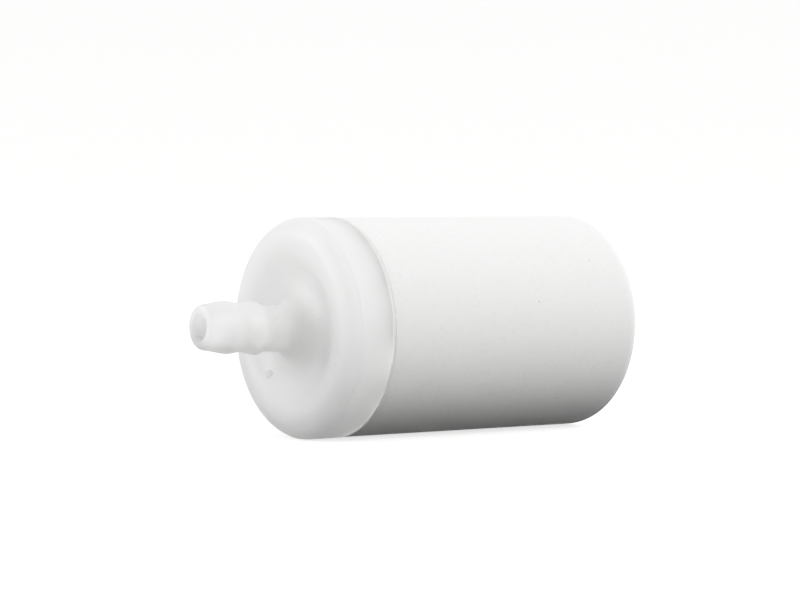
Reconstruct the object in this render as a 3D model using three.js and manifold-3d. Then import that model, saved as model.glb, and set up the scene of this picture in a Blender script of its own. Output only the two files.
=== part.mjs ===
// Hose-barb pneumatic muffler, in millimetres.
//
// A cup of sintered porous plastic is closed by a moulded cap, and a thin ring of fused plastic joins them.
// Exhaust air comes down the bore of the cap's barbed nipple, slows in the empty chamber inside the cup
// and leaves through the cup's porous wall.
//
// Frame: +Z up, with the muffler lying on its side and its axis along X. The origin is on the axis, in the
// plane of the cap's rim crest. The nipple points along -X and the closed end of the cup along +X.
//
// Every piece is turned from a profile. A profile point is (radius, place along X).

import * as THREE from "three";
import { mergeVertices } from "three/addons/utils/BufferGeometryUtils.js";
import Module from "manifold-3d";

// ---------------------------------------------------------------- sizes

// Cap
const CAP_DIAMETER = 18;
const CAP_RIM_LENGTH = 4.2; // rim crest to the joint with the cup
const CAP_WALL = 1.7; // behind the dish
const RIM_WIDTH = 1.8; // rim crest to the cap's side
const RIM_ROUND = 1.7; // outer front edge of the rim
const REAR_EDGE_ROUND = 0.03; // outer edge beside the joint

// Dish around the nipple
const DISH_DEPTH = 0.9; // below the rim crest
const FLARE_RADIUS = 2.2; // hollow round from the nipple into the dish

// Nipple. Crests are measured forward from the rim crest.
const NIPPLE_LENGTH = 8.3;
const BARB_RADIUS = 2.14;
const NECK_DROP = 0.29; // neck below the barbs
const WAIST_DROP = 0.19; // waist between the barbs, below them
const INNER_BARB_CREST = 3.3;
const OUTER_BARB_CREST = 5.9;
const CREST_LAND = 0.3; // length of a crest
const BARB_SHOULDER = 0.7; // slope behind the inner crest
const WAIST_SHOULDER = 1; // gentler slope behind the outer crest
const BORE_RADIUS = 0.9;
const BORE_LEAD_IN = 0.2; // chamfer at both ends of the bore
const TIP_LAND = 0.35; // flat ring at the tip
const TIP_ROUND = 0.4;

// Spigot that locates the cup on the cap
const SPIGOT_LENGTH = 4; // beyond the joint
const SPIGOT_WALL = 1.2;
const SPIGOT_LEAD_IN = 0.4;

// Cup
const SLEEVE_LENGTH = 25.5;
const SLEEVE_INSET = 0.03; // cup's side below the cap's side
const SLEEVE_WALL = 2.9;
const END_WALL = 3; // closed end
const END_ROUND = 1.5; // outer corner of the closed end
const CHAMBER_ROUND = 1; // inner corner of the chamber
const MOUTH_ROUND = 0.03; // outer edge of the open end

// Weld ring, fused between the cap's rear land and the cup's mouth
const WELD_THICKNESS = 0.2;
const WELD_PROUD = 0.02; // above the cup's side
const WELD_EDGE_ROUND = 0.04;

// Gate mark, left on the dish's slope where the plastic was injected
const GATE_RADIUS = 0.35;
const GATE_PLACE = 5.3; // distance from the axis
const GATE_HEIGHT = 0.2; // above the dish, at the nub's middle
const GATE_SINK = 0.3; // how far the nub reaches down into the cap
const GATE_ANGLE = (-46.5 * Math.PI) / 180; // round the axis, from +Y towards +Z

// Clearances
const SPIGOT_CLEARANCE = 0.05; // on the radius, between spigot and chamber wall
const WELD_GAP = 0.02; // on each face of the weld ring, and round the spigot

// Facets
const TURNED_SIDES = 48;
const GATE_SIDES = 12;
const ARC_STEP = Math.PI / 12;
const MERGE_DISTANCE = 1e-4; // vertices closer than this are one

// ---------------------------------------------------------------- materials

const plastic = (color, roughness) => new THREE.MeshStandardMaterial({ color, roughness, metalness: 0 });

const naturalPolypropylene = plastic(0xe9e9e6, 0.42);
const porousPolyethylene = plastic(0xf3f3f1, 0.92);
const fusedPlastic = plastic(0xf0f0ee, 0.3);

// ---------------------------------------------------------------- helpers

/** A profile point. */
const point = (radius, along) => new THREE.Vector2(radius, along);

/** Points of a round, both ends included. Angle 0 points away from the axis, and 90 degrees along +X. */
function round(radius, along, size, from, to) {
  const steps = Math.max(2, Math.ceil(Math.abs(to - from) / ARC_STEP));
  return Array.from({ length: steps + 1 }, (_, i) => {
    const angle = from + ((to - from) * i) / steps;
    return point(radius + size * Math.cos(angle), along + size * Math.sin(angle));
  });
}

/** Turns a profile round the X axis. */
function turned(profile) {
  return new THREE.LatheGeometry(profile, TURNED_SIDES).rotateZ(-Math.PI / 2);
}

const wasm = await Module();
wasm.setup();

/** A closed geometry as a manifold-3d solid. */
function solidOf(geometry) {
  const bare = geometry.clone();
  bare.deleteAttribute("normal");
  bare.deleteAttribute("uv");
  const merged = mergeVertices(bare, MERGE_DISTANCE);
  return new wasm.Manifold(
    new wasm.Mesh({
      numProp: 3,
      vertProperties: merged.attributes.position.array,
      triVerts: new Uint32Array(merged.index.array),
    }),
  );
}

/** A manifold-3d solid as a geometry with flat facets. */
function geometryOf(solid) {
  const mesh = solid.getMesh();
  const flat = new THREE.BufferGeometry()
    .setAttribute("position", new THREE.BufferAttribute(mesh.vertProperties, mesh.numProp))
    .setIndex(new THREE.BufferAttribute(mesh.triVerts, 1))
    .toNonIndexed();
  flat.computeVertexNormals();
  return flat;
}

/** A named mesh. */
function piece(name, geometry, material) {
  const mesh = new THREE.Mesh(geometry, material);
  mesh.name = name;
  return mesh;
}

// ---------------------------------------------------------------- places shared by the pieces

const capRadius = CAP_DIAMETER / 2;
const crestRadius = capRadius - RIM_WIDTH;
const neckRadius = BARB_RADIUS - NECK_DROP;
const sleeveRadius = capRadius - SLEEVE_INSET;
const chamberRadius = sleeveRadius - SLEEVE_WALL;
const spigotRadius = chamberRadius - SPIGOT_CLEARANCE;
const coreRadius = spigotRadius - SPIGOT_WALL;

const flareCentre = neckRadius + FLARE_RADIUS;
const dishSlope = crestRadius - flareCentre;
const dishTurn = Math.atan2(DISH_DEPTH, dishSlope) * 2;
const dishSweep = dishSlope / Math.sin(dishTurn) / 2; // the same round at the dish's floor and at the crest
const dishFloor = DISH_DEPTH + CAP_WALL;
const spigotEnd = CAP_RIM_LENGTH + SPIGOT_LENGTH;
const mouth = CAP_RIM_LENGTH + WELD_THICKNESS + 2 * WELD_GAP;
const closedEnd = mouth + SLEEVE_LENGTH;

// ---------------------------------------------------------------- cap

/** Nipple, from the bore's mouth at the tip back to the neck. */
function nippleProfile() {
  const tip = -NIPPLE_LENGTH;
  const outer = -OUTER_BARB_CREST;
  const inner = -INNER_BARB_CREST;
  const mouthRadius = BORE_RADIUS + BORE_LEAD_IN;
  return [
    point(mouthRadius, tip),
    ...round(mouthRadius + TIP_LAND, tip + TIP_ROUND, TIP_ROUND, -Math.PI / 2, 0),
    point(BARB_RADIUS, outer - CREST_LAND / 2),
    point(BARB_RADIUS, outer + CREST_LAND / 2),
    point(BARB_RADIUS - WAIST_DROP, outer + CREST_LAND / 2 + WAIST_SHOULDER),
    point(BARB_RADIUS, inner - CREST_LAND / 2),
    point(BARB_RADIUS, inner + CREST_LAND / 2),
    point(neckRadius, inner + CREST_LAND / 2 + BARB_SHOULDER),
  ];
}

/** Hollow flare, dish and the rim's rounded front edge. */
function dishProfile() {
  return [
    ...round(flareCentre, DISH_DEPTH - FLARE_RADIUS, FLARE_RADIUS, Math.PI, Math.PI / 2),
    ...round(flareCentre, DISH_DEPTH - dishSweep, dishSweep, Math.PI / 2, Math.PI / 2 - dishTurn).slice(1),
    ...round(crestRadius, dishSweep, dishSweep, -Math.PI / 2 - dishTurn, -Math.PI / 2).slice(1),
    ...round(capRadius - RIM_ROUND, RIM_ROUND, RIM_ROUND, -Math.PI / 2, 0),
  ];
}

/** Rear of the cap, from the rim's rear edge inwards to the spigot and back to the bore. */
function rearProfile() {
  return [
    ...round(capRadius - REAR_EDGE_ROUND, CAP_RIM_LENGTH - REAR_EDGE_ROUND, REAR_EDGE_ROUND, 0, Math.PI / 2),
    point(spigotRadius, CAP_RIM_LENGTH),
    point(spigotRadius, spigotEnd - SPIGOT_LEAD_IN),
    point(spigotRadius - SPIGOT_LEAD_IN, spigotEnd),
    point(coreRadius, spigotEnd),
    point(coreRadius, dishFloor),
    point(BORE_RADIUS + BORE_LEAD_IN, dishFloor),
    point(BORE_RADIUS, dishFloor - BORE_LEAD_IN),
    point(BORE_RADIUS, BORE_LEAD_IN - NIPPLE_LENGTH),
  ];
}

/** Nub on the hollow part of the dish's slope. */
function gateMark() {
  const surface = DISH_DEPTH - dishSweep + Math.sqrt(dishSweep ** 2 - (GATE_PLACE - flareCentre) ** 2);
  return new THREE.CylinderGeometry(GATE_RADIUS, GATE_RADIUS, GATE_HEIGHT + GATE_SINK, GATE_SIDES)
    .rotateZ(Math.PI / 2)
    .translate(
      surface + (GATE_SINK - GATE_HEIGHT) / 2,
      GATE_PLACE * Math.cos(GATE_ANGLE),
      GATE_PLACE * Math.sin(GATE_ANGLE),
    );
}

function barbedCap() {
  const outline = [...nippleProfile(), ...dishProfile(), ...rearProfile()];
  const body = turned([...outline, outline[0].clone()]);
  return piece("barbed_cap", geometryOf(solidOf(body).add(solidOf(gateMark()))), naturalPolypropylene);
}

// ---------------------------------------------------------------- cup

function porousSleeve() {
  const chamberEnd = closedEnd - END_WALL;
  const outline = [
    point(0, chamberEnd),
    ...round(chamberRadius - CHAMBER_ROUND, chamberEnd - CHAMBER_ROUND, CHAMBER_ROUND, Math.PI / 2, 0),
    point(chamberRadius, mouth),
    ...round(sleeveRadius - MOUTH_ROUND, mouth + MOUTH_ROUND, MOUTH_ROUND, -Math.PI / 2, 0),
    ...round(sleeveRadius - END_ROUND, closedEnd - END_ROUND, END_ROUND, 0, Math.PI / 2),
    point(0, closedEnd),
  ];
  return piece("porous_sleeve", turned(outline), porousPolyethylene);
}

// ---------------------------------------------------------------- weld ring

/** Flat ring of fused plastic that stands out as a fine line between cap and cup. */
function weldRing() {
  const front = CAP_RIM_LENGTH + WELD_GAP;
  const rear = front + WELD_THICKNESS;
  const innerRadius = spigotRadius + WELD_GAP;
  const edge = sleeveRadius + WELD_PROUD - WELD_EDGE_ROUND;
  const outline = [
    point(innerRadius, front),
    ...round(edge, front + WELD_EDGE_ROUND, WELD_EDGE_ROUND, -Math.PI / 2, 0),
    ...round(edge, rear - WELD_EDGE_ROUND, WELD_EDGE_ROUND, 0, Math.PI / 2),
    point(innerRadius, rear),
  ];
  return piece("weld_ring", turned([...outline, outline[0].clone()]), fusedPlastic);
}

// ---------------------------------------------------------------- assembly

const muffler = new THREE.Group();
muffler.add(barbedCap(), porousSleeve(), weldRing());

export default muffler;
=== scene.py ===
"""Looks of a hose-barb pneumatic muffler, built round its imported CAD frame. Lengths are in metres.

The muffler lies on its side with its axis along X: the nipple points along -X and the closed end of the cup
along +X. Every piece is worked up from a cylinder primitive, ring by ring along that axis.
"""

import logging
import math
from collections.abc import Callable, Iterable
from dataclasses import dataclass, field
from enum import Enum

import bmesh
import bpy
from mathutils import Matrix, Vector


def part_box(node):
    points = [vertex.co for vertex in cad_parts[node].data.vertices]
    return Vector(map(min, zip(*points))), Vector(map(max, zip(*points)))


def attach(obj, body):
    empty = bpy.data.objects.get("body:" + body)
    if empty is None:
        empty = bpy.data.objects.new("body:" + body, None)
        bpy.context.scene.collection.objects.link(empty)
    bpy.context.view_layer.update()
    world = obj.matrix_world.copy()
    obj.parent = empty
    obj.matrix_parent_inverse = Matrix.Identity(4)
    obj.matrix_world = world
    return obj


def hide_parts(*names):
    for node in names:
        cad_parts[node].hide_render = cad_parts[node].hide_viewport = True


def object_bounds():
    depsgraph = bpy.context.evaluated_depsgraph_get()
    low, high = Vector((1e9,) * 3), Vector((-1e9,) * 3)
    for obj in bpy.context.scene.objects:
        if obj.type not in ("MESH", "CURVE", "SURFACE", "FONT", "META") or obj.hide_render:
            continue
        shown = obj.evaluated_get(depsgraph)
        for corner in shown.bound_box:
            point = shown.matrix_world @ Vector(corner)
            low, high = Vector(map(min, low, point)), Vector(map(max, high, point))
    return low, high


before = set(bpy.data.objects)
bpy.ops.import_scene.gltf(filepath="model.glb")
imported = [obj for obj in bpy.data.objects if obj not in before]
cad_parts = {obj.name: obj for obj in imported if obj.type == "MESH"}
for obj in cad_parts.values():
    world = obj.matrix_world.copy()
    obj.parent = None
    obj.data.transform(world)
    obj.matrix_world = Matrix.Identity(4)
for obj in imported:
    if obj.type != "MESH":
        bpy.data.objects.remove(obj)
cad_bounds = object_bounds()

log = logging.getLogger("muffler")

MM = 0.001
HERE = 1e-6  # how close a vertex is to the place that a selection asks for

Ring = tuple[float, float]  # radius, place along X
Colour = tuple[float, float, float, float]


# ---------------------------------------------------------------- colour and nodes


def srgb(code: str) -> Colour:
    """Turns an sRGB hex colour to linear.

    Args:
        code: Six hex digits after a hash.

    Returns:
        Red, green, blue and an alpha of 1.
    """
    shares = [int(code[i : i + 2], 16) / 255 for i in (1, 3, 5)]
    linear = [s / 12.92 if s <= 0.04045 else ((s + 0.055) / 1.055) ** 2.4 for s in shares]
    return (linear[0], linear[1], linear[2], 1.0)


def add_node(
    tree: bpy.types.NodeTree,
    kind: str,
    inputs: dict[str | int, object] | None = None,
    **settings: object,
) -> bpy.types.Node:
    """Adds a node with its settings and links.

    Args:
        tree: The node tree that gets the node.
        kind: The node's type, without its leading "ShaderNode".
        inputs: A value for an input, or the output socket that feeds it, by input name or number.
        **settings: The node's own properties.

    Returns:
        The new node.
    """
    node = tree.nodes.new("ShaderNode" + kind)
    for name, value in settings.items():
        setattr(node, name, value)
    for name, value in (inputs or {}).items():
        if isinstance(value, bpy.types.NodeSocket):
            tree.links.new(value, node.inputs[name])
        else:
            node.inputs[name].default_value = value
    return node


def new_material(name: str) -> tuple[bpy.types.Material, bpy.types.NodeTree]:
    """Makes an empty node material.

    Args:
        name: The material's name.

    Returns:
        The material and its node tree.
    """
    material = bpy.data.materials.new(name)
    material.use_nodes = True
    material.node_tree.nodes.clear()
    return material, material.node_tree


def specks(
    tree: bpy.types.NodeTree, place: bpy.types.NodeSocket, spacing: float, radius: float, strength: float
) -> bpy.types.NodeSocket:
    """Scatters sparse round specks through a material.

    Args:
        tree: The material's node tree.
        place: Where on the piece, as Object coordinates.
        spacing: Mean distance between specks, in depth too, so only a few reach the surface.
        radius: Radius of the largest speck.
        strength: Share of the speck's colour at its middle.

    Returns:
        The share of the speck's colour, 0 between specks.
    """
    cells = add_node(tree, "TexVoronoi", {"Vector": place, "Scale": 1 / spacing})
    edge = radius / spacing
    share = add_node(
        tree,
        "MapRange",
        {"Value": cells.outputs["Distance"], "From Min": edge, "From Max": edge / 3, "To Max": strength},
    )
    return share.outputs["Result"]


# ---------------------------------------------------------------- finishes


@dataclass(frozen=True)
class NaturalPolypropylene:
    """Injection-moulded natural polypropylene: milky, so light travels deep inside, with a satin skin."""

    colour: str = "#f0f0ef"
    cloud_colour: str = "#eaeae9"
    cloud_size: float = 3.5 * MM  # slow drift of tone where the melt cooled unevenly
    depth: float = 14 * MM  # how far light travels inside
    roughness: float = 0.42
    ior: float = 1.49
    speck_colour: str = "#a8a8a6"  # dust caught in the melt
    speck_spacing: float = 2.2 * MM
    speck_radius: float = 0.1 * MM
    speck_strength: float = 0.5
    gloss_drift: float = 0.05  # either way from the roughness
    skin_size: float = 0.35 * MM  # dimples of the mould's blasted steel
    skin_relief: float = 0.004 * MM

    def make(self) -> bpy.types.Material:
        """Makes the material."""
        material, tree = new_material("natural_polypropylene_moulded")
        place = add_node(tree, "TexCoord").outputs["Object"]
        clouds = add_node(
            tree,
            "TexNoise",
            {"Vector": place, "Scale": 1 / self.cloud_size, "Detail": 3.0, "Roughness": 0.5},
        )
        tone = add_node(
            tree,
            "Mix",
            {"Factor": clouds.outputs["Fac"], "A": srgb(self.colour), "B": srgb(self.cloud_colour)},
            data_type="RGBA",
        )
        dusty = add_node(
            tree,
            "Mix",
            {
                "Factor": specks(
                    tree, place, self.speck_spacing, self.speck_radius, self.speck_strength
                ),
                "A": tone.outputs["Result"],
                "B": srgb(self.speck_colour),
            },
            data_type="RGBA",
        )
        skin = add_node(
            tree, "TexNoise", {"Vector": place, "Scale": 1 / self.skin_size, "Detail": 2.0, "Roughness": 0.6}
        )
        gloss = add_node(
            tree,
            "MapRange",
            {
                "Value": clouds.outputs["Fac"],
                "To Min": self.roughness - self.gloss_drift,
                "To Max": self.roughness + self.gloss_drift,
            },
        )
        relief = add_node(tree, "Bump", {"Height": skin.outputs["Fac"], "Distance": self.skin_relief})
        shader = add_node(
            tree,
            "BsdfPrincipled",
            {
                "Base Color": dusty.outputs["Result"],
                "Roughness": gloss.outputs["Result"],
                "IOR": self.ior,
                "Subsurface Weight": 1.0,
                "Subsurface Radius": (1.0, 1.0, 1.0),
                "Subsurface Scale": self.depth,
                "Normal": relief.outputs["Normal"],
            },
            subsurface_method="RANDOM_WALK",
        )
        add_node(tree, "OutputMaterial", {"Surface": shader.outputs["BSDF"]})
        return material


@dataclass(frozen=True)
class SinteredPolyethylene:
    """Sintered polyethylene granules: a dead matt white skin of fused beads, with fine pores between them
    that get painted shade.
    """

    colour: str = "#ededec"
    # painted shade: the colour that the pores between the beads are darkened towards, where shade falls in
    # them
    painted_pore_shade_colour: str = "#dadad8"
    bead_size: float = 0.3 * MM
    bead_relief: float = 0.003 * MM
    speck_colour: str = "#8f8f8c"  # scorched granules
    speck_spacing: float = 2.5 * MM
    speck_radius: float = 0.13 * MM
    speck_strength: float = 0.6
    painted_pore_shade_from: float = 0.45  # distance from a bead's middle, in beads, where the painted shade of its pores begins
    painted_pore_shade_to: float = 0.9
    painted_pore_shade_strength: float = 0.3
    drift_size: float = 5 * MM  # slow drift of tone along the moulding
    drift_colour: str = "#e9e9e8"
    roughness: float = 0.9
    ior: float = 1.51
    depth: float = 0.35 * MM

    def make(self) -> bpy.types.Material:
        """Makes the material."""
        material, tree = new_material("porous_polyethylene_sintered")
        place = add_node(tree, "TexCoord").outputs["Object"]
        beads = add_node(
            tree,
            "TexVoronoi",
            {"Vector": place, "Scale": 1 / self.bead_size, "Smoothness": 0.6},
            feature="SMOOTH_F1",
        )
        grit = add_node(
            tree, "TexNoise", {"Vector": place, "Scale": 2 / self.bead_size, "Detail": 2.0, "Roughness": 0.6}
        )
        drift = add_node(tree, "TexNoise", {"Vector": place, "Scale": 1 / self.drift_size, "Detail": 2.0})
        skin = add_node(
            tree,
            "Mix",
            {"Factor": drift.outputs["Fac"], "A": srgb(self.colour), "B": srgb(self.drift_colour)},
            data_type="RGBA",
        )
        # painted shade: darkens the colour between the beads, where shade falls in the pores
        painted_pore_shade = add_node(
            tree,
            "MapRange",
            {
                "Value": beads.outputs["Distance"],
                "From Min": self.painted_pore_shade_from,
                "From Max": self.painted_pore_shade_to,
                "To Max": self.painted_pore_shade_strength,
            },
        )
        tone = add_node(
            tree,
            "Mix",
            {"Factor": painted_pore_shade.outputs["Result"], "A": skin.outputs["Result"], "B": srgb(self.painted_pore_shade_colour)},
            data_type="RGBA",
        )
        dusty = add_node(
            tree,
            "Mix",
            {
                "Factor": specks(
                    tree, place, self.speck_spacing, self.speck_radius, self.speck_strength
                ),
                "A": tone.outputs["Result"],
                "B": srgb(self.speck_colour),
            },
            data_type="RGBA",
        )
        height = add_node(
            tree,
            "Math",
            {0: beads.outputs["Distance"], 1: -1.0, 2: grit.outputs["Fac"]},
            operation="MULTIPLY_ADD",
        )
        relief = add_node(tree, "Bump", {"Height": height.outputs["Value"], "Distance": self.bead_relief})
        shader = add_node(
            tree,
            "BsdfPrincipled",
            {
                "Base Color": dusty.outputs["Result"],
                "Roughness": self.roughness,
                "IOR": self.ior,
                "Subsurface Weight": 0.5,
                "Subsurface Radius": (1.0, 1.0, 1.0),
                "Subsurface Scale": self.depth,
                "Normal": relief.outputs["Normal"],
            },
            subsurface_method="RANDOM_WALK",
        )
        add_node(tree, "OutputMaterial", {"Surface": shader.outputs["BSDF"]})
        return material


@dataclass(frozen=True)
class FusedPlastic:
    """Plastic melted and set again along the weld: clearer and glossier than both of its neighbours."""

    colour: str = "#f2f2f0"
    flow_colour: str = "#e2e2df"
    flow_size: float = 0.8 * MM
    depth: float = 0.8 * MM
    roughness: float = 0.3
    ior: float = 1.5

    def make(self) -> bpy.types.Material:
        """Makes the material."""
        material, tree = new_material("fused_plastic_welded")
        place = add_node(tree, "TexCoord").outputs["Object"]
        flow = add_node(
            tree,
            "TexNoise",
            {"Vector": place, "Scale": 1 / self.flow_size, "Detail": 2.0, "Distortion": 0.6},
        )
        tone = add_node(
            tree,
            "Mix",
            {"Factor": flow.outputs["Fac"], "A": srgb(self.colour), "B": srgb(self.flow_colour)},
            data_type="RGBA",
        )
        shader = add_node(
            tree,
            "BsdfPrincipled",
            {
                "Base Color": tone.outputs["Result"],
                "Roughness": self.roughness,
                "IOR": self.ior,
                "Subsurface Weight": 1.0,
                "Subsurface Radius": (1.0, 1.0, 1.0),
                "Subsurface Scale": self.depth,
            },
            subsurface_method="RANDOM_WALK",
        )
        add_node(tree, "OutputMaterial", {"Surface": shader.outputs["BSDF"]})
        return material


@dataclass(frozen=True)
class OpalAcrylic:
    """Cast opal acrylic sheet, lit faintly from behind: a soft even white with a matt face."""

    colour: str = "#f2f2f1"
    mottle_colour: str = "#eeeeed"
    mottle_size: float = 9 * MM
    roughness: float = 0.7
    glow: float = 0.62

    def make(self) -> bpy.types.Material:
        """Makes the material."""
        material, tree = new_material("opal_acrylic_cast")
        place = add_node(tree, "TexCoord").outputs["Object"]
        mottle = add_node(tree, "TexNoise", {"Vector": place, "Scale": 1 / self.mottle_size, "Detail": 2.0})
        tone = add_node(
            tree,
            "Mix",
            {"Factor": mottle.outputs["Fac"], "A": srgb(self.colour), "B": srgb(self.mottle_colour)},
            data_type="RGBA",
        )
        shader = add_node(
            tree,
            "BsdfPrincipled",
            {
                "Base Color": tone.outputs["Result"],
                "Roughness": self.roughness,
                "Emission Color": srgb(self.colour),
                "Emission Strength": self.glow,
            },
        )
        add_node(tree, "OutputMaterial", {"Surface": shader.outputs["BSDF"]})
        return material


@dataclass(frozen=True)
class BlackCard:
    """Card faced with black flock, which gives next to no light back."""

    colour: str = "#0c0c0c"

    def make(self) -> bpy.types.Material:
        """Makes the material."""
        material, tree = new_material("black_card_flocked")
        shader = add_node(tree, "BsdfDiffuse", {"Color": srgb(self.colour), "Roughness": 1.0})
        add_node(tree, "OutputMaterial", {"Surface": shader.outputs["BSDF"]})
        return material


# ---------------------------------------------------------------- modelling


class End(Enum):
    """An end of a turned body."""

    FRONT = -1  # faces along -X
    REAR = 1  # faces along +X


def arc(centre: Ring, size: float, start: float, stop: float, steps: int) -> list[Ring]:
    """Rings of a round.

    Args:
        centre: Middle of the round.
        size: Its radius.
        start: First angle in degrees. 0 points away from the axis and 90 along +X.
        stop: Last angle.
        steps: Number of stretches between the rings.

    Returns:
        The rings, both ends included.
    """
    angles = [math.radians(start + (stop - start) * i / steps) for i in range(steps + 1)]
    return [(centre[0] + size * math.cos(a), centre[1] + size * math.sin(a)) for a in angles]


@dataclass
class TurnedBody:
    """A round body on the X axis, worked up from a cylinder with its ends drawn out ring by ring."""

    name: str
    radius: float
    low: float
    high: float
    sides: int = 192
    pitch: float = 0.35 * MM  # longest stretch between two rings
    ring: Ring = field(init=False)
    piece: bpy.types.Object = field(init=False)

    def __post_init__(self) -> None:
        """Adds the cylinder, with its axis turned along X."""
        bpy.ops.object.select_all(action="DESELECT")
        bpy.ops.mesh.primitive_cylinder_add(
            vertices=self.sides,
            radius=self.radius,
            depth=self.high - self.low,
            location=((self.low + self.high) / 2, 0, 0),
            rotation=(0, math.pi / 2, 0),
        )
        self.piece = bpy.context.object
        self.piece.name = self.piece.data.name = self.name
        bpy.ops.object.transform_apply(location=True, rotation=True, scale=True)

    def _mesh(self, mode: str) -> bmesh.types.BMesh:
        """Goes to edit mode with nothing selected.

        Args:
            mode: What is selected next: VERT, EDGE or FACE.

        Returns:
            The mesh in edit mode.
        """
        bpy.ops.object.mode_set(mode="EDIT")
        bpy.ops.mesh.select_mode(type=mode)
        bpy.ops.mesh.select_all(action="DESELECT")
        mesh = bmesh.from_edit_mesh(self.piece.data)
        mesh.faces.ensure_lookup_table()
        return mesh

    def pick_end(self, end: End) -> None:
        """Selects the flat face that closes an end.

        Args:
            end: Which end.
        """
        mesh = self._mesh("FACE")
        closing = next(f for f in mesh.faces if len(f.verts) == self.sides and f.normal.x * end.value > 0.9)
        closing.select_set(True)
        bmesh.update_edit_mesh(self.piece.data)
        corner = closing.verts[0].co
        self.ring = (math.hypot(corner.y, corner.z), corner.x)

    def round_end(self, end: End, size: float, segments: int) -> None:
        """Bevels the edge round an end of the bare cylinder.

        Args:
            end: Which end.
            size: Radius of the round.
            segments: Number of stretches across it.
        """
        self.pick_end(end)
        bpy.ops.mesh.region_to_loop()
        bpy.ops.mesh.bevel(offset=size, segments=segments, profile=0.5, affect="EDGES")

    def _step(self, ring: Ring) -> None:
        """Extrudes the selected end face to a ring.

        Args:
            ring: Where the face goes.
        """
        radius, along = self.ring
        bpy.ops.mesh.extrude_region_move(TRANSFORM_OT_translate={"value": (ring[1] - along, 0, 0)})
        share = ring[0] / radius
        bpy.ops.transform.resize(value=(1, share, share), center_override=(ring[1], 0, 0))
        self.ring = ring

    def draw(self, rings: Iterable[Ring]) -> None:
        """Draws the selected end face through rings, in steps no longer than the pitch.

        Args:
            rings: The rings in order.
        """
        for ring in rings:
            start = self.ring
            length = math.dist(start, ring)
            if length < HERE:
                continue
            steps = max(1, math.ceil(length / self.pitch))
            for i in range(1, steps + 1):
                self._step(tuple(a + (b - a) * i / steps for a, b in zip(start, ring)))

    def drop_face(self) -> None:
        """Deletes the selected face and leaves its edge open."""
        bpy.ops.mesh.delete(type="FACE")

    def lean(self, test: Callable[[Vector], bool], lift: float, reach: float) -> None:
        """Lifts some vertices along Z and lets the rest follow softly.

        Args:
            test: Says of a vertex's place whether it is lifted in full.
            lift: How far.
            reach: Distance at which nothing moves any more.
        """
        mesh = self._mesh("VERT")
        for vertex in mesh.verts:
            vertex.select_set(test(vertex.co))
        mesh.select_flush_mode()
        bmesh.update_edit_mesh(self.piece.data)
        bpy.ops.transform.translate(
            value=(0, 0, lift),
            use_proportional_edit=True,
            proportional_edit_falloff="SMOOTH",
            proportional_size=reach,
        )

    def seal(self) -> bpy.types.Object:
        """Merges doubles, turns all faces outwards and goes back to object mode.

        Returns:
            The finished piece.
        """
        bpy.ops.object.mode_set(mode="EDIT")
        bpy.ops.mesh.select_mode(type="VERT")
        bpy.ops.mesh.select_all(action="SELECT")
        bpy.ops.mesh.remove_doubles(threshold=HERE)
        bpy.ops.mesh.normals_make_consistent(inside=False)
        bpy.ops.object.mode_set(mode="OBJECT")
        return self.piece


def roughen(piece: bpy.types.Object, grain: float, depth: float) -> None:
    """Sinks a piece's surface by a fine even noise, never above where it was.

    Args:
        piece: The piece.
        grain: Width of the noise's bumps.
        depth: Its greatest depth.
    """
    noise = bpy.data.textures.new(piece.name + "_grain", "CLOUDS")
    noise.noise_scale = grain
    noise.noise_depth = 1
    modifier = piece.modifiers.new("grain", "DISPLACE")
    modifier.texture = noise
    modifier.texture_coords = "LOCAL"
    modifier.strength = depth
    modifier.mid_level = 1.0
    apply_modifiers(piece)


def apply_modifiers(piece: bpy.types.Object) -> None:
    """Applies all of a piece's modifiers in order.

    Args:
        piece: The piece.
    """
    bpy.ops.object.select_all(action="DESELECT")
    piece.select_set(True)
    bpy.context.view_layer.objects.active = piece
    for modifier in list(piece.modifiers):
        bpy.ops.object.modifier_apply(modifier=modifier.name)


def dress(piece: bpy.types.Object, material: bpy.types.Material, smooth_to: float) -> None:
    """Gives a piece its material, and smooth shading in which broad faces outweigh narrow ones.

    Args:
        piece: The piece.
        material: Its material.
        smooth_to: Edges sharper than this many degrees stay sharp.
    """
    bpy.ops.object.select_all(action="DESELECT")
    piece.select_set(True)
    bpy.context.view_layer.objects.active = piece
    bpy.ops.object.shade_smooth_by_angle(angle=math.radians(smooth_to))
    weighting = piece.modifiers.new("broad_faces_lead", "WEIGHTED_NORMAL")
    weighting.mode, weighting.keep_sharp = "FACE_AREA", True
    apply_modifiers(piece)
    piece.data.materials.clear()
    piece.data.materials.append(material)


def hand_over(piece: bpy.types.Object, node: str) -> None:
    """Lets a piece stand for a CAD node.

    Args:
        piece: The piece.
        node: The CAD node that it replaces.
    """
    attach(piece, "root")
    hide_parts(node)
    log.info("%s: %d faces, stands for %s", piece.name, len(piece.data.polygons), node)


# ---------------------------------------------------------------- cap


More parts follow.
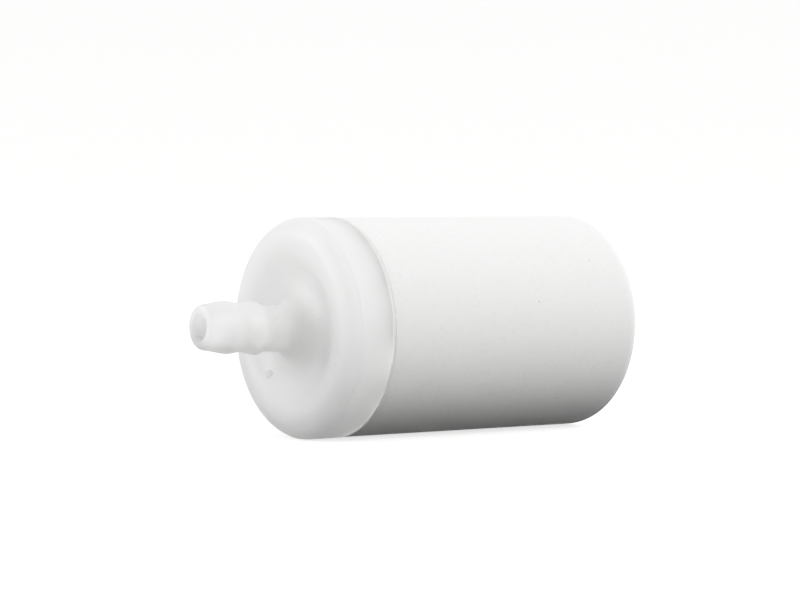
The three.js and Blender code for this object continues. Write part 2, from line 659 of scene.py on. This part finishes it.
@dataclass
class BarbedCap:
    """Moulded cap: nipple with two barbs, flare, dish, rounded rim and the spigot inside the cup."""

    node: str = "barbed_cap"
    rim_length: float = 4.2 * MM
    rim_width: float = 1.8 * MM
    rim_round: float = 1.7 * MM
    rear_round: float = 0.03 * MM
    wall: float = 1.7 * MM
    dish_depth: float = 0.9 * MM
    flare: float = 2.2 * MM
    barb_radius: float = 2.14 * MM
    neck_drop: float = 0.29 * MM
    waist_drop: float = 0.19 * MM
    inner_crest: float = 3.3 * MM
    outer_crest: float = 5.9 * MM
    crest_land: float = 0.3 * MM
    barb_shoulder: float = 0.7 * MM
    waist_shoulder: float = 1.0 * MM
    bore_radius: float = 0.9 * MM
    bore_lead_in: float = 0.2 * MM
    tip_land: float = 0.35 * MM
    tip_round: float = 0.4 * MM
    spigot_radius: float = 6.02 * MM
    spigot_wall: float = 1.2 * MM
    spigot_lead_in: float = 0.4 * MM
    parting_at: float = 1.25 * MM  # fine ridge where the two halves of the mould met
    parting_height: float = 0.03 * MM
    parting_width: float = 0.12 * MM
    gate_radius: float = 0.35 * MM  # nub on the dish's slope where the plastic was injected
    gate_place: float = 5.3 * MM  # distance from the axis
    gate_height: float = 0.2 * MM  # above the dish, at the nub's middle
    gate_sink: float = 0.3 * MM  # how far it reaches down into the cap
    gate_angle: float = -46.5  # degrees round the axis, from +Y towards +Z
    gate_crater: float = 0.05 * MM
    gate_sides: int = 32
    lean: float = 0.35 * MM  # how far the soft nipple's tip leans up
    lean_reach: float = 9.5 * MM  # how far from the tip the lean dies out

    def _nipple(self, tip: float) -> list[Ring]:
        """Rings from the neck forward to the bore's mouth.

        Args:
            tip: Place of the nipple's tip along X.

        Returns:
            The rings.
        """
        neck = self.barb_radius - self.neck_drop
        half_land = self.crest_land / 2
        tip_radius = self.bore_radius + self.bore_lead_in + self.tip_land + self.tip_round
        return [
            (neck, -self.inner_crest + half_land + self.barb_shoulder),
            (self.barb_radius, -self.inner_crest + half_land),
            (self.barb_radius, -self.inner_crest - half_land),
            (self.barb_radius - self.waist_drop, -self.outer_crest + half_land + self.waist_shoulder),
            (self.barb_radius, -self.outer_crest + half_land),
            (self.barb_radius, -self.outer_crest - half_land),
            (tip_radius, tip + self.tip_round),
            *arc((tip_radius - self.tip_round, tip + self.tip_round), self.tip_round, 0, -90, 8),
            (self.bore_radius + self.bore_lead_in, tip),
            (self.bore_radius, tip + self.bore_lead_in),
        ]

    def _rim(self, radius: float) -> list[Ring]:
        """Rings of the rim's rounded front edge, with the parting ridge on it.

        Args:
            radius: Radius of the cap's side.

        Returns:
            The rings, from the side to the crest.
        """
        size = self.rim_round
        centre = (radius - size, size)
        ridge = math.degrees(math.asin(self.parting_at / size - 1))
        foot = math.degrees(self.parting_width / size / 2)
        return [
            *arc(centre, size, 0, ridge + foot, 4),
            *arc(centre, size + self.parting_height, ridge, ridge, 1)[:1],
            *arc(centre, size, ridge - foot, -90, 16),
        ]

    def _sweep(self, crest: float) -> tuple[float, float, float]:
        """The round that the dish has both at its floor and at its crest.

        Args:
            crest: Radius of the rim's crest.

        Returns:
            Radius at which the flare ends and the dish begins, degrees that each round turns, its size.
        """
        middle = self.barb_radius - self.neck_drop + self.flare
        slope = crest - middle
        turn = 2 * math.atan2(self.dish_depth, slope)
        return middle, math.degrees(turn), slope / math.sin(turn) / 2

    def _dish(self, crest: float) -> list[Ring]:
        """Rings from the rim's crest down into the dish and up the flare to the neck.

        Args:
            crest: Radius of the rim's crest.

        Returns:
            The rings.
        """
        middle, turn, sweep = self._sweep(crest)
        return [
            *arc((crest, sweep), sweep, -90, -90 - turn, 10),
            *arc((middle, self.dish_depth - sweep), sweep, 90 - turn, 90, 10),
            *arc((middle, self.dish_depth - self.flare), self.flare, 90, 180, 16),
        ]

    def _add_gate_mark(self, piece: bpy.types.Object, crest: float) -> None:
        """Fuses the gate mark onto the dish: a short nub with the shallow crater that a broken gate leaves.

        Args:
            piece: The cap.
            crest: Radius of the rim's crest.
        """
        middle, _, sweep = self._sweep(crest)
        surface = self.dish_depth - sweep + math.sqrt(sweep**2 - (self.gate_place - middle) ** 2)
        nub = TurnedBody(
            "gate_mark", self.gate_radius, -self.gate_height, self.gate_sink, sides=self.gate_sides
        )
        nub.round_end(End.FRONT, self.gate_radius / 4, 3)
        nub.pick_end(End.FRONT)
        bpy.ops.mesh.inset(thickness=self.gate_radius / 3)
        bpy.ops.transform.translate(value=(self.gate_crater, 0, 0))
        bpy.ops.object.mode_set(mode="OBJECT")
        angle = math.radians(self.gate_angle)
        across, up = self.gate_place * math.cos(angle), self.gate_place * math.sin(angle)
        nub.piece.location = (surface, across, up)
        bpy.ops.object.transform_apply(location=True, rotation=False, scale=False)
        union = piece.modifiers.new("gate_mark", "BOOLEAN")
        union.operation, union.solver, union.object = "UNION", "EXACT", nub.piece
        apply_modifiers(piece)
        bpy.data.objects.remove(nub.piece)

    def build(self) -> bpy.types.Object:
        """Builds and dresses the cap.

        Returns:
            The finished piece.
        """
        low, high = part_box(self.node)
        radius, tip, spigot_end = high.y, low.x, high.x
        crest = radius - self.rim_width
        core = self.spigot_radius - self.spigot_wall
        floor = self.dish_depth + self.wall

        body = TurnedBody("barbed_cap_moulding", radius, self.rim_round, self.rim_length)
        body.round_end(End.REAR, self.rear_round, 3)
        body.pick_end(End.FRONT)
        body.draw([*self._rim(radius), *self._dish(crest), *self._nipple(tip)])
        body.draw([(self.bore_radius, floor - self.bore_lead_in)])
        body.draw([(self.bore_radius + self.bore_lead_in, floor)])
        body.draw([(core, floor), (core, spigot_end)])
        body.drop_face()
        body.pick_end(End.REAR)
        body.draw([(self.spigot_radius, self.rim_length)])
        body.draw([(self.spigot_radius, spigot_end - self.spigot_lead_in)])
        body.draw([(self.spigot_radius - self.spigot_lead_in, spigot_end), (core, spigot_end)])
        body.drop_face()
        body.lean(lambda place: place.x < tip + HERE, self.lean, self.lean_reach)
        piece = body.seal()
        self._add_gate_mark(piece, crest)
        dress(piece, NaturalPolypropylene().make(), smooth_to=40)
        hand_over(piece, self.node)
        return piece


# ---------------------------------------------------------------- cup


@dataclass
class PorousSleeve:
    """Cup of sintered granules with a rounded closed end and an empty chamber."""

    node: str = "porous_sleeve"
    wall: float = 2.9 * MM
    end_wall: float = 3.0 * MM
    end_round: float = 1.5 * MM
    chamber_round: float = 1.0 * MM
    mouth_round: float = 0.03 * MM
    stub: float = 1.0 * MM  # length of the cylinder that the cup is drawn out from
    sides: int = 288
    skin_pitch: float = 0.25 * MM
    chamber_pitch: float = 1.5 * MM
    pole_radius: float = 0.3 * MM  # last ring before the middle of an end face
    grain: float = 0.45 * MM
    grain_depth: float = 0.004 * MM

    def build(self) -> bpy.types.Object:
        """Builds and dresses the cup.

        Returns:
            The finished piece.
        """
        low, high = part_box(self.node)
        radius, mouth, end = high.y, low.x, high.x
        chamber = radius - self.wall
        chamber_end = end - self.end_wall

        body = TurnedBody(
            "porous_sleeve_sintered",
            radius,
            mouth,
            mouth + self.stub,
            sides=self.sides,
            pitch=self.skin_pitch,
        )
        body.round_end(End.FRONT, self.mouth_round, 3)
        body.pick_end(End.REAR)
        body.draw([(radius, end - self.end_round)])
        body.draw(arc((radius - self.end_round, end - self.end_round), self.end_round, 0, 90, 14))
        body.draw([(self.pole_radius, end)])
        bpy.ops.mesh.poke()
        body.pick_end(End.FRONT)
        body.pitch = self.chamber_pitch
        corner = (chamber - self.chamber_round, chamber_end - self.chamber_round)
        body.draw([(chamber, mouth), (chamber, corner[1])])
        body.draw(arc(corner, self.chamber_round, 0, 90, 6))
        body.draw([(self.pole_radius, chamber_end)])
        bpy.ops.mesh.poke()
        piece = body.seal()
        roughen(piece, self.grain, self.grain_depth)
        dress(piece, SinteredPolyethylene().make(), smooth_to=50)
        hand_over(piece, self.node)
        return piece


# ---------------------------------------------------------------- weld ring


@dataclass
class WeldRing:
    """Thin ring of fused plastic between cap and cup, which stands out as a fine line."""

    node: str = "weld_ring"
    spigot_gap: float = 0.02 * MM  # round the cap's spigot
    edge_round: float = 0.04 * MM
    sides: int = 288
    pitch: float = 0.5 * MM
    ripple: float = 0.9 * MM
    ripple_depth: float = 0.01 * MM

    def build(self) -> bpy.types.Object:
        """Builds and dresses the ring.

        Returns:
            The finished piece.
        """
        low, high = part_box(self.node)
        radius, front, rear = high.y, low.x, high.x
        inner = BarbedCap().spigot_radius + self.spigot_gap

        body = TurnedBody("weld_ring_fused", radius, front, rear, sides=self.sides, pitch=self.pitch)
        body.round_end(End.FRONT, self.edge_round, 3)
        body.round_end(End.REAR, self.edge_round, 3)
        body.pick_end(End.FRONT)
        body.draw([(inner, front), (inner, rear)])
        body.drop_face()
        body.pick_end(End.REAR)
        body.draw([(inner, rear)])
        body.drop_face()
        piece = body.seal()
        roughen(piece, self.ripple, self.ripple_depth)
        dress(piece, FusedPlastic().make(), smooth_to=60)
        hand_over(piece, self.node)
        return piece


# ---------------------------------------------------------------- studio


@dataclass(frozen=True)
class Softbox:
    """A rectangular soft light that faces the muffler."""

    name: str
    azimuth: float  # degrees. 0 stands on the -Y side and 90 on the +X side
    elevation: float  # degrees above the horizon
    distance: float
    width: float
    height: float
    power: float  # watts

    def add(self, target: Vector) -> None:
        """Adds the light.

        Args:
            target: The point that it faces.
        """
        away = direction(self.azimuth, self.elevation)
        data = bpy.data.lights.new(self.name, "AREA")
        data.shape = "RECTANGLE"
        data.size, data.size_y, data.energy = self.width, self.height, self.power
        lamp = bpy.data.objects.new(self.name, data)
        lamp.location = target + away * self.distance
        lamp.rotation_euler = away.to_track_quat("Z", "Y").to_euler()
        lamp.visible_camera = False
        bpy.context.scene.collection.objects.link(lamp)


def direction(azimuth: float, elevation: float) -> Vector:
    """The direction from the muffler towards a stand point.

    Args:
        azimuth: Degrees round the vertical. 0 is the -Y side and 90 the +X side.
        elevation: Degrees above the horizon.

    Returns:
        A unit vector.
    """
    a, e = math.radians(azimuth), math.radians(elevation)
    return Vector((math.sin(a) * math.cos(e), -math.cos(a) * math.cos(e), math.sin(e)))


def light_only(lamp: bpy.types.Object, piece: bpy.types.Object) -> None:
    """Lets a lamp light one piece, with nothing else in its way.

    Args:
        lamp: The lamp.
        piece: The piece.
    """
    alone = bpy.data.collections.new(lamp.name + "_lights")
    alone.objects.link(piece)
    lamp.light_linking.receiver_collection = alone
    lamp.light_linking.blocker_collection = alone


@dataclass
class InnerGlow:
    """Lamps that stand for light inside the cap's milky plastic.

    Such plastic carries light through its walls and through the fused joint. The renderer loses the part of
    it that leaves the plastic into the chamber, the joint or the bore. A disc in the chamber, a ring of small
    lamps behind the joint and a row of them in the bore give it back. They light the cap alone, and their
    strengths are set by trial.
    """

    disc_at: float = 13 * MM
    disc_diameter: float = 32 * MM
    disc_power: float = 0.002  # watts, as are the powers below
    ring_at: float = 5.4 * MM
    ring_radius: float = 7.6 * MM
    ring_lamps: int = 12
    ring_lamp_size: float = 0.8 * MM
    ring_lamp_power: float = 0.00015
    bore_from: float = -7 * MM
    bore_spacing: float = 2 * MM
    bore_height: float = -0.35 * MM  # near the bore's underside, which gets the least light
    bore_lamps: int = 4
    bore_lamp_size: float = 0.25 * MM
    bore_lamp_power: float = 0.000006

    def _add(self, name: str, kind: str, power: float, size: float, place: Vector) -> bpy.types.Object:
        """Adds one lamp.

        Args:
            name: Its name.
            kind: POINT or AREA. An area lamp is a disc that faces along -X.
            power: Its power in watts.
            size: Radius of a point lamp, or diameter of a disc.
            place: Where it stands.

        Returns:
            The lamp.
        """
        data = bpy.data.lights.new(name, kind)
        data.energy = power
        if kind == "AREA":
            data.shape, data.size = "DISK", size
        else:
            data.shadow_soft_size = size
        lamp = bpy.data.objects.new(name, data)
        lamp.location = place
        lamp.rotation_euler = Vector((1, 0, 0)).to_track_quat("Z", "Y").to_euler()
        lamp.visible_camera = False
        bpy.context.scene.collection.objects.link(lamp)
        return lamp

    def add(self, cap: bpy.types.Object) -> None:
        """Adds the lamps.

        Args:
            cap: The piece that they light.
        """
        disc_place = Vector((self.disc_at, 0, 0))
        lamps = [self._add("chamber_disc", "AREA", self.disc_power, self.disc_diameter, disc_place)]
        for i in range(self.ring_lamps):
            turn = 2 * math.pi * i / self.ring_lamps
            across, up = self.ring_radius * math.cos(turn), self.ring_radius * math.sin(turn)
            place = Vector((self.ring_at, across, up))
            name = f"joint_lamp_{i + 1}"
            lamps.append(self._add(name, "POINT", self.ring_lamp_power, self.ring_lamp_size, place))
        for i in range(self.bore_lamps):
            place = Vector((self.bore_from + i * self.bore_spacing, 0, self.bore_height))
            name = f"bore_lamp_{i + 1}"
            lamps.append(self._add(name, "POINT", self.bore_lamp_power, self.bore_lamp_size, place))
        for lamp in lamps:
            light_only(lamp, cap)


@dataclass
class Studio:
    """Pale floor, soft light all round and the camera."""

    floor_radius: float = 0.8
    cove_round: float = 0.8  # sweep from the floor up into the wall
    wall_height: float = 3.0
    cove_sides: int = 128
    cove_steps: int = 24
    card_radius: float = 4.0
    card_drop: float = 0.1 * MM
    sky_strength: float = 0.4
    lights: tuple[Softbox, ...] = (
        Softbox("left_rear", -125, 20, 0.6, 0.4, 0.4, 1.1),
        Softbox("left_low", -85, 5, 0.6, 0.4, 0.4, 0.9),
        Softbox("front", 10, 30, 0.6, 0.4, 0.4, 1.9),
        Softbox("right_front", 55, 40, 0.6, 0.4, 0.4, 0.4),
        Softbox("right_end", 100, 20, 0.6, 0.4, 0.4, 1.7),
    )
    shoulder: float = 1.4  # how far the picture's highlights are held back
    shoulder_points: int = 9
    camera_azimuth: float = -35.6
    camera_elevation: float = 2.1
    camera_distance: float = 236 * MM
    camera_lens: float = 128
    camera_target: Vector = field(default_factory=lambda: Vector((11.2, 0, 2.1)) * MM)

    def _disc(
        self, name: str, radius: float, height: float, material: bpy.types.Material
    ) -> bpy.types.Object:
        """Adds a level disc, left in edit mode with its edge selected.

        Args:
            name: Its name.
            radius: Its radius.
            height: Its place along Z.
            material: Its material.

        Returns:
            The disc.
        """
        bpy.ops.object.select_all(action="DESELECT")
        bpy.ops.mesh.primitive_circle_add(
            vertices=self.cove_sides, radius=radius, fill_type="NGON", location=(0, 0, height)
        )
        disc = bpy.context.object
        bpy.ops.object.transform_apply(location=True, rotation=True, scale=True)
        disc.name = name
        disc.data.materials.append(material)
        bpy.ops.object.mode_set(mode="EDIT")
        bpy.ops.mesh.select_all(action="SELECT")
        bpy.ops.mesh.region_to_loop()
        return disc

    def build_floor(self, lowest: float) -> None:
        """Lays the pale floor, whose edge sweeps up all round into a wall, and a black card.

        The card lies just under the floor and keeps the floor's light off the muffler's underside.

        Args:
            lowest: Lowest point of the muffler.
        """
        floor = self._disc("floor", self.floor_radius, lowest, OpalAcrylic().make())
        rings = arc((self.floor_radius, lowest + self.cove_round), self.cove_round, -90, 0, self.cove_steps)
        rings.append((rings[-1][0], lowest + self.wall_height))
        for (radius, height), (wider, higher) in zip(rings, rings[1:]):
            share = wider / radius
            bpy.ops.mesh.extrude_region_move(TRANSFORM_OT_translate={"value": (0, 0, higher - height)})
            bpy.ops.transform.resize(value=(share, share, 1), center_override=(0, 0, higher))
        bpy.ops.object.mode_set(mode="OBJECT")
        bpy.ops.object.shade_smooth()
        floor.visible_diffuse = False
        floor.visible_shadow = False

        card = self._disc("black_card", self.card_radius, lowest - self.card_drop, BlackCard().make())
        bpy.ops.object.mode_set(mode="OBJECT")
        card.visible_camera = False
        card.visible_glossy = False

    def build_light(self) -> None:
        """Adds the softboxes and the even light of a white tent."""
        for light in self.lights:
            light.add(self.camera_target)
        world = bpy.data.worlds.new("tent")
        world.use_nodes = True
        world.node_tree.nodes.clear()
        white = {"Color": srgb("#ffffff"), "Strength": self.sky_strength}
        sky = add_node(world.node_tree, "Background", white)
        add_node(world.node_tree, "OutputWorld", {"Surface": sky.outputs["Background"]})
        bpy.context.scene.world = world

    def hold_highlights(self) -> None:
        """Gives the picture a tone curve with a soft shoulder, so that white plastic keeps its shape."""
        view = bpy.context.scene.view_settings
        view.view_transform = "Standard"
        view.use_curve_mapping = True
        curve = view.curve_mapping.curves[3]
        top = 1 - math.exp(-self.shoulder)
        for i in range(1, self.shoulder_points - 1):
            level = i / (self.shoulder_points - 1)
            curve.points.new(level, (1 - math.exp(-self.shoulder * level)) / top)
        view.curve_mapping.update()

    def build_camera(self) -> None:
        """Adds the camera."""
        away = direction(self.camera_azimuth, self.camera_elevation)
        data = bpy.data.cameras.new("camera")
        data.lens = self.camera_lens
        data.clip_start, data.clip_end = 0.01, 10
        camera = bpy.data.objects.new("camera", data)
        camera.location = self.camera_target + away * self.camera_distance
        camera.rotation_euler = away.to_track_quat("Z", "Y").to_euler()
        bpy.context.scene.collection.objects.link(camera)
        bpy.context.scene.camera = camera


# ---------------------------------------------------------------- main


def main() -> None:
    """Builds the muffler and the studio."""
    logging.basicConfig(level=logging.INFO, format="%(name)s: %(message)s")
    cap = BarbedCap().build()
    PorousSleeve().build()
    WeldRing().build()
    studio = Studio()
    studio.build_floor(cad_bounds[0].z)
    studio.build_light()
    InnerGlow().add(cap)
    studio.build_camera()
    studio.hold_highlights()


if __name__ == "__main__":
    main()
